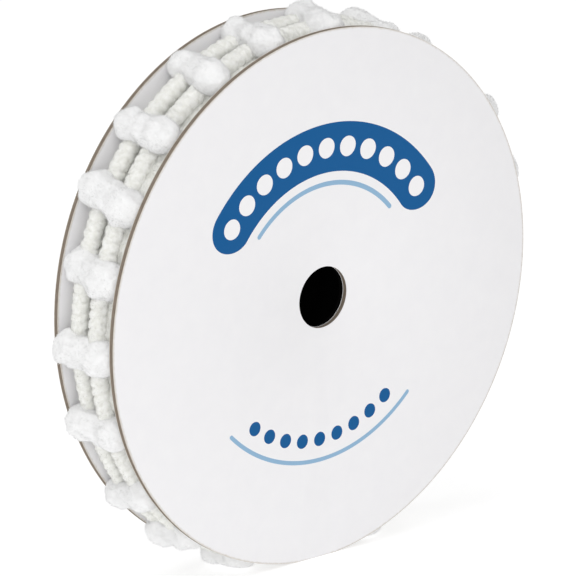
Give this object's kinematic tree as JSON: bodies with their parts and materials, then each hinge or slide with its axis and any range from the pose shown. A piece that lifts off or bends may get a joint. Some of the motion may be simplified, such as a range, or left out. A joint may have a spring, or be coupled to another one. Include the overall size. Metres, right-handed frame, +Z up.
{
  "type": "pom pom trim on a card spool",
  "caption": "White pom pom trim with a two-cord heading, wound between two round white cards that lean slightly apart, standing upright on their rims.",
  "frame": {"origin": "on the surface the spool stands on, under the middle of its bounding box", "axes": "+Z up, the spool's axis along Y, the front card facing -Y"},
  "size_m": [0.1068, 0.0194, 0.1018],
  "materials": {
    "card_paper": "smooth white paper on greyboard",
    "tube_board": "raw grey card",
    "heading_yarn": "soft chenille cord",
    "pompom_pile": "dense soft acrylic pile"
  },
  "bodies": {
    "root": {"front_card": "card_paper", "back_card": "card_paper", "core_tube": "tube_board", "wound_heading": "heading_yarn", "pompom_01": "pompom_pile", "pompom_02": "pompom_pile", "pompom_03": "pompom_pile", "pompom_04": "pompom_pile", "pompom_05": "pompom_pile", "pompom_06": "pompom_pile", "pompom_07": "pompom_pile", "pompom_08": "pompom_pile", "pompom_09": "pompom_pile", "pompom_10": "pompom_pile", "pompom_11": "pompom_pile", "pompom_12": "pompom_pile", "pompom_13": "pompom_pile", "pompom_14": "pompom_pile", "pompom_15": "pompom_pile", "pompom_16": "pompom_pile", "pompom_17": "pompom_pile", "pompom_18": "pompom_pile", "pompom_19": "pompom_pile", "pompom_20": "pompom_pile", "pompom_21": "pompom_pile"}
  },
  "joints": []
}
